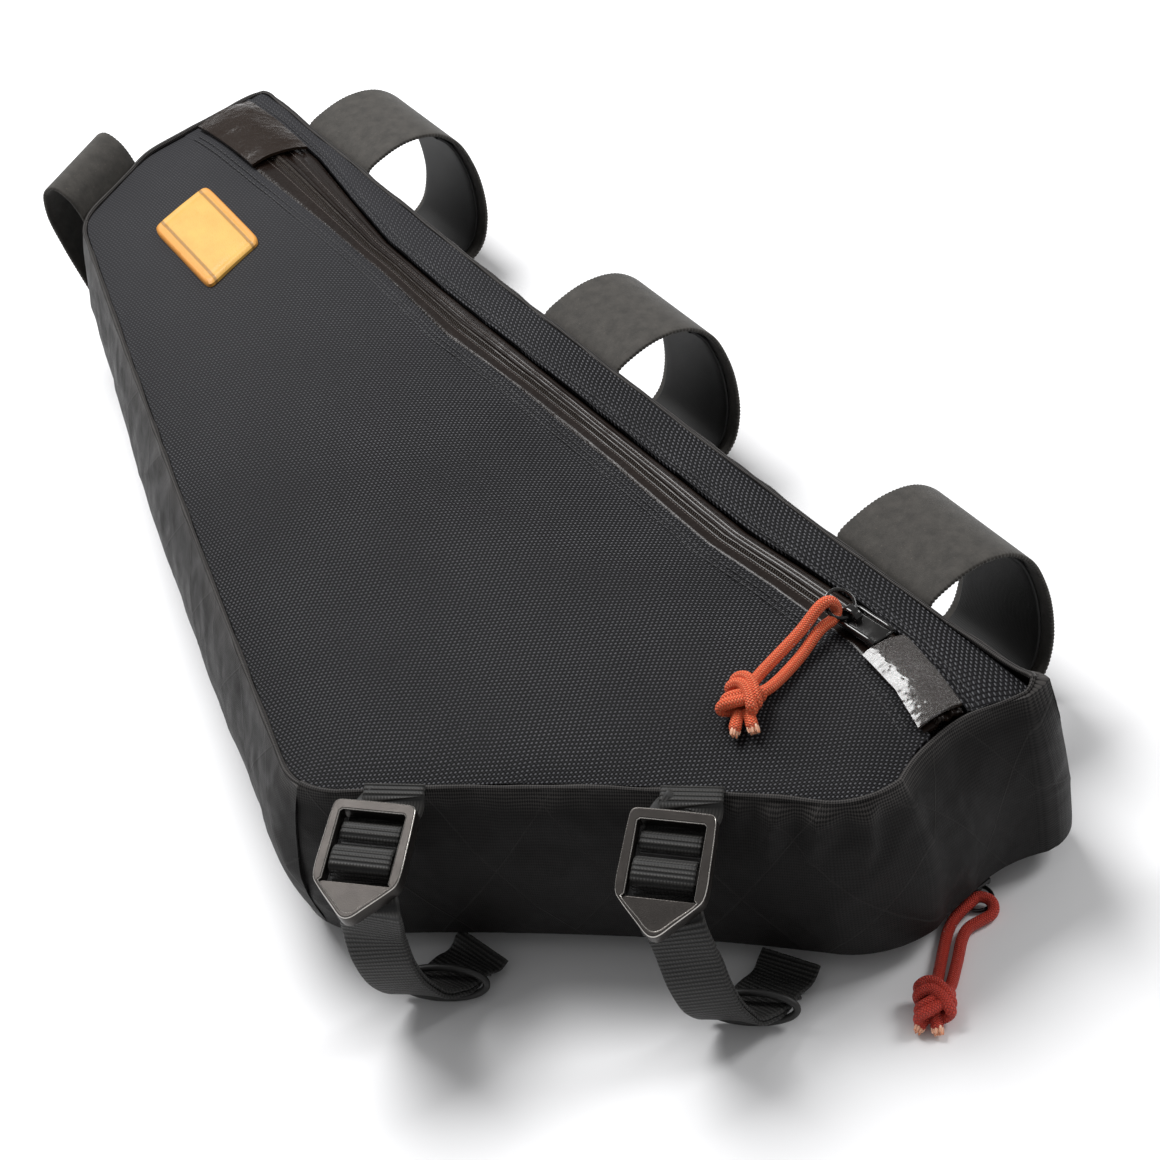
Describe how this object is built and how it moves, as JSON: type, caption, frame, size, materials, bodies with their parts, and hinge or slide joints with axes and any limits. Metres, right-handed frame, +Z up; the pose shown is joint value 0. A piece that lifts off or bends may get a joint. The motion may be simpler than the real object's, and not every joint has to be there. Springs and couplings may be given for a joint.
{
  "type": "bicycle frame bag",
  "caption": "Black wedge-shaped bicycle frame bag lying on its side, with a coated zip, orange cord pulls, a tan leather label, hook-and-loop top straps and ladder-buckle seat straps.",
  "frame": {"origin": "point on the flat underside of the lower panel, on which the bag lies", "axes": "+Z up off the floor, +Y along the top tube edge toward the head end, +X toward the top tube and its straps"},
  "size_m": [0.2648, 0.556, 0.0879],
  "materials": {
    "heavy_weave": "heavy basket-weave nylon, matt",
    "laminate": "thin laminated cloth, crinkled, low sheen",
    "coated_tape": "coated zip tape, glossy",
    "strap": "rubber-faced hook and loop strap, matt",
    "webbing": "ribbed nylon webbing, matt",
    "dark_metal": "cast, satin gunmetal with worn edges",
    "black_metal": "gloss black",
    "black_rubber": "smooth, satin",
    "orange_cord": "braided cord, matt",
    "tan_leather": "satin, worn"
  },
  "bodies": {
    "root": {"main_panel": "heavy_weave", "top_band": "heavy_weave", "lower_panel": "heavy_weave", "zip_tape_panel_side": "coated_tape", "zip_tape_band_side": "coated_tape", "zip_cover_seat_end": "coated_tape", "zip_cover_head_end": "coated_tape", "gusset_top": "laminate", "gusset_head": "laminate", "gusset_bottom": "laminate", "gusset_seat": "laminate", "label": "tan_leather", "zip_slider": "black_metal", "pull_ring": "black_metal", "pull_cord_a": "orange_cord", "pull_cord_b": "orange_cord", "pull_end_a": "orange_cord", "pull_end_b": "orange_cord", "pull_knot": "orange_cord", "lower_zip_slider": "black_metal", "lower_pull_ring": "black_metal", "lower_pull_cord_a": "orange_cord", "lower_pull_cord_b": "orange_cord", "lower_pull_end_a": "orange_cord", "lower_pull_end_b": "orange_cord", "lower_pull_knot": "orange_cord", "top_strap_seat": "strap", "top_strap_seat_lining": "strap", "top_strap_middle": "strap", "top_strap_middle_lining": "strap", "top_strap_head": "strap", "top_strap_head_lining": "strap", "head_strap": "strap", "buckle_tail_side": "dark_metal", "buckle_tab_tail_side": "webbing", "webbing_tail_side": "webbing", "keeper_tail_side": "black_rubber", "buckle_corner_side": "dark_metal", "buckle_tab_corner_side": "webbing", "webbing_corner_side": "webbing", "keeper_corner_side": "black_rubber"}
  },
  "joints": []
}
